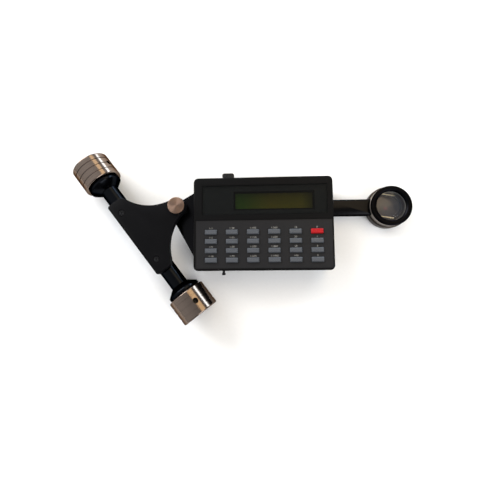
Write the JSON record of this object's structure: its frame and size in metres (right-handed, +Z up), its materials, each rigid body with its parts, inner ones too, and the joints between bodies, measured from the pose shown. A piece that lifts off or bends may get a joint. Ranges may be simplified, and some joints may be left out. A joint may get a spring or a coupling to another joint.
{
  "type": "rolling digital planimeter",
  "caption": "Digital planimeter: keyed unit with display, tracer arm with magnifier, swinging roller carriage.",
  "frame": {"origin": "on the paper, in the middle of the footprint's box", "axes": "+X along the tracer arm towards the magnifier, +Y to the rear of the unit, +Z up from the paper"},
  "size_m": [0.3804, 0.194, 0.044],
  "materials": {
    "case_black": "fine moulded texture",
    "panel_grey": "fine moulded texture",
    "key_grey": "satin",
    "key_red": "satin",
    "window_smoke": "smoked, polished",
    "lcd_green": "olive display",
    "lcd_frame_black": "matt black",
    "board_green": "circuit board",
    "mat_rubber": "silicone rubber",
    "cell_sleeve": "printed sleeve",
    "switch_black": "moulded",
    "knob_black": "moulded",
    "lever_black": "moulded",
    "socket_black": "moulded",
    "arm_black": "black anodised",
    "barrel_satin": "satin turned",
    "lens_clear": "polished",
    "ring_black": "black anodised",
    "plate_clear": "clear acrylic",
    "wheel_steel": "ground",
    "yoke_aluminium": "milled",
    "disc_steel": "etched",
    "sensor_black": "moulded",
    "bracket_black": "black anodised",
    "screw_black": "blackened steel",
    "pin_steel": "ground",
    "knob_spun": "spun finish",
    "carriage_black": "black anodised",
    "bearing_steel": "polished",
    "shaft_steel": "ground",
    "roller_metal": "turned, brushed around"
  },
  "bodies": {
    "main_unit": {"upper_case": "case_black", "lower_case": "case_black", "case_screws": "screw_black", "key_panel": "panel_grey", "display_window": "window_smoke", "main_board": "board_green", "key_mat": "mat_rubber", "lcd_module": "lcd_green", "lcd_frame": "lcd_frame_black", "battery_pack": "cell_sleeve", "switch_body": "switch_black", "adapter_socket": "socket_black", "tracer_arm": "arm_black", "lens_barrel": "barrel_satin", "lens_glass": "lens_clear", "lens_ring": "ring_black", "tracing_plate": "plate_clear", "wheel_yoke": "yoke_aluminium", "encoder_sensor": "sensor_black", "wing_bracket": "bracket_black", "frame_screws": "screw_black", "pivot_pin": "pin_steel"},
    "carriage": {"carriage_plate": "carriage_black", "plate_screws": "screw_black", "axle_tube": "carriage_black", "bearing_cups": "carriage_black", "ball_bearings": "bearing_steel"},
    "axle": {"axle_shaft": "shaft_steel", "roller_front": "roller_metal", "roller_rear": "roller_metal", "set_screws": "screw_black"},
    "measuring_wheel": {"measuring_wheel": "wheel_steel", "encoder_disc": "disc_steel"},
    "pivot_knob": {"pivot_knob": "knob_spun"},
    "power_switch": {"power_switch_knob": "knob_black"},
    "brake_lever": {"brake_lever": "lever_black"},
    "key_r1c1": {"key_r1c1": "key_grey"},
    "key_r1c2": {"key_r1c2": "key_grey"},
    "key_r1c3": {"key_r1c3": "key_grey"},
    "key_r1c4": {"key_r1c4": "key_grey"},
    "key_r1c5": {"key_r1c5": "key_grey"},
    "key_r1c6": {"key_r1c6": "key_red"},
    "key_r2c1": {"key_r2c1": "key_grey"},
    "key_r2c2": {"key_r2c2": "key_grey"},
    "key_r2c3": {"key_r2c3": "key_grey"},
    "key_r2c4": {"key_r2c4": "key_grey"},
    "key_r2c5": {"key_r2c5": "key_grey"},
    "key_r2c6": {"key_r2c6": "key_grey"},
    "key_r3c1": {"key_r3c1": "key_grey"},
    "key_r3c2": {"key_r3c2": "key_grey"},
    "key_r3c3": {"key_r3c3": "key_grey"},
    "key_r3c4": {"key_r3c4": "key_grey"},
    "key_r3c5": {"key_r3c5": "key_grey"},
    "key_r3c6": {"key_r3c6": "key_grey"},
    "key_r4c1": {"key_r4c1": "key_grey"},
    "key_r4c2": {"key_r4c2": "key_grey"},
    "key_r4c3": {"key_r4c3": "key_grey"},
    "key_r4c4": {"key_r4c4": "key_grey"},
    "key_r4c5": {"key_r4c5": "key_grey"},
    "key_r4c6": {"key_r4c6": "key_grey"}
  },
  "joints": [
    {"name": "carriage_swing", "type": "hinge", "parent": "main_unit", "child": "carriage", "pos_m": [-0.06773, 0.03166, 0], "axis": [0, 0, 1], "range_deg": [-82.5, 7.5]},
    {"name": "roller_spin", "type": "hinge", "parent": "carriage", "child": "axle", "pos_m": [-0.10898, 0, 0.02137], "axis": [-0.6088, 0.7934, 0], "continuous": true},
    {"name": "measuring_wheel_spin", "type": "hinge", "parent": "main_unit", "child": "measuring_wheel", "pos_m": [-0.02013, 0.03166, 0.01], "axis": [1, 0, 0], "continuous": true},
    {"name": "pivot_knob_turn", "type": "hinge", "parent": "main_unit", "child": "pivot_knob", "pos_m": [-0.06773, 0.03166, 0.0395], "axis": [0, 0, 1], "range_deg": [0, 270]},
    {"name": "power_switch_slide", "type": "slide", "parent": "main_unit", "child": "power_switch", "axis": [1, 0, 0], "range_m": [0, 0.003]},
    {"name": "brake_slide", "type": "slide", "parent": "main_unit", "child": "brake_lever", "axis": [1, 0, 0], "range_m": [0, 0.004]},
    {"name": "press_r1c1", "type": "slide", "parent": "main_unit", "child": "key_r1c1", "axis": [0, 0, -1], "range_m": [0, 0.0012], "stiffness_N_per_m": 400, "springref_m": -0.0006},
    {"name": "press_r1c2", "type": "slide", "parent": "main_unit", "child": "key_r1c2", "axis": [0, 0, -1], "range_m": [0, 0.0012], "stiffness_N_per_m": 400, "springref_m": -0.0006},
    {"name": "press_r1c3", "type": "slide", "parent": "main_unit", "child": "key_r1c3", "axis": [0, 0, -1], "range_m": [0, 0.0012], "stiffness_N_per_m": 400, "springref_m": -0.0006},
    {"name": "press_r1c4", "type": "slide", "parent": "main_unit", "child": "key_r1c4", "axis": [0, 0, -1], "range_m": [0, 0.0012], "stiffness_N_per_m": 400, "springref_m": -0.0006},
    {"name": "press_r1c5", "type": "slide", "parent": "main_unit", "child": "key_r1c5", "axis": [0, 0, -1], "range_m": [0, 0.0012], "stiffness_N_per_m": 400, "springref_m": -0.0006},
    {"name": "press_r1c6", "type": "slide", "parent": "main_unit", "child": "key_r1c6", "axis": [0, 0, -1], "range_m": [0, 0.0012], "stiffness_N_per_m": 400, "springref_m": -0.0006},
    {"name": "press_r2c1", "type": "slide", "parent": "main_unit", "child": "key_r2c1", "axis": [0, 0, -1], "range_m": [0, 0.0012], "stiffness_N_per_m": 400, "springref_m": -0.0006},
    {"name": "press_r2c2", "type": "slide", "parent": "main_unit", "child": "key_r2c2", "axis": [0, 0, -1], "range_m": [0, 0.0012], "stiffness_N_per_m": 400, "springref_m": -0.0006},
    {"name": "press_r2c3", "type": "slide", "parent": "main_unit", "child": "key_r2c3", "axis": [0, 0, -1], "range_m": [0, 0.0012], "stiffness_N_per_m": 400, "springref_m": -0.0006},
    {"name": "press_r2c4", "type": "slide", "parent": "main_unit", "child": "key_r2c4", "axis": [0, 0, -1], "range_m": [0, 0.0012], "stiffness_N_per_m": 400, "springref_m": -0.0006},
    {"name": "press_r2c5", "type": "slide", "parent": "main_unit", "child": "key_r2c5", "axis": [0, 0, -1], "range_m": [0, 0.0012], "stiffness_N_per_m": 400, "springref_m": -0.0006},
    {"name": "press_r2c6", "type": "slide", "parent": "main_unit", "child": "key_r2c6", "axis": [0, 0, -1], "range_m": [0, 0.0012], "stiffness_N_per_m": 400, "springref_m": -0.0006},
    {"name": "press_r3c1", "type": "slide", "parent": "main_unit", "child": "key_r3c1", "axis": [0, 0, -1], "range_m": [0, 0.0012], "stiffness_N_per_m": 400, "springref_m": -0.0006},
    {"name": "press_r3c2", "type": "slide", "parent": "main_unit", "child": "key_r3c2", "axis": [0, 0, -1], "range_m": [0, 0.0012], "stiffness_N_per_m": 400, "springref_m": -0.0006},
    {"name": "press_r3c3", "type": "slide", "parent": "main_unit", "child": "key_r3c3", "axis": [0, 0, -1], "range_m": [0, 0.0012], "stiffness_N_per_m": 400, "springref_m": -0.0006},
    {"name": "press_r3c4", "type": "slide", "parent": "main_unit", "child": "key_r3c4", "axis": [0, 0, -1], "range_m": [0, 0.0012], "stiffness_N_per_m": 400, "springref_m": -0.0006},
    {"name": "press_r3c5", "type": "slide", "parent": "main_unit", "child": "key_r3c5", "axis": [0, 0, -1], "range_m": [0, 0.0012], "stiffness_N_per_m": 400, "springref_m": -0.0006},
    {"name": "press_r3c6", "type": "slide", "parent": "main_unit", "child": "key_r3c6", "axis": [0, 0, -1], "range_m": [0, 0.0012], "stiffness_N_per_m": 400, "springref_m": -0.0006},
    {"name": "press_r4c1", "type": "slide", "parent": "main_unit", "child": "key_r4c1", "axis": [0, 0, -1], "range_m": [0, 0.0012], "stiffness_N_per_m": 400, "springref_m": -0.0006},
    {"name": "press_r4c2", "type": "slide", "parent": "main_unit", "child": "key_r4c2", "axis": [0, 0, -1], "range_m": [0, 0.0012], "stiffness_N_per_m": 400, "springref_m": -0.0006},
    {"name": "press_r4c3", "type": "slide", "parent": "main_unit", "child": "key_r4c3", "axis": [0, 0, -1], "range_m": [0, 0.0012], "stiffness_N_per_m": 400, "springref_m": -0.0006},
    {"name": "press_r4c4", "type": "slide", "parent": "main_unit", "child": "key_r4c4", "axis": [0, 0, -1], "range_m": [0, 0.0012], "stiffness_N_per_m": 400, "springref_m": -0.0006},
    {"name": "press_r4c5", "type": "slide", "parent": "main_unit", "child": "key_r4c5", "axis": [0, 0, -1], "range_m": [0, 0.0012], "stiffness_N_per_m": 400, "springref_m": -0.0006},
    {"name": "press_r4c6", "type": "slide", "parent": "main_unit", "child": "key_r4c6", "axis": [0, 0, -1], "range_m": [0, 0.0012], "stiffness_N_per_m": 400, "springref_m": -0.0006}
  ]
}
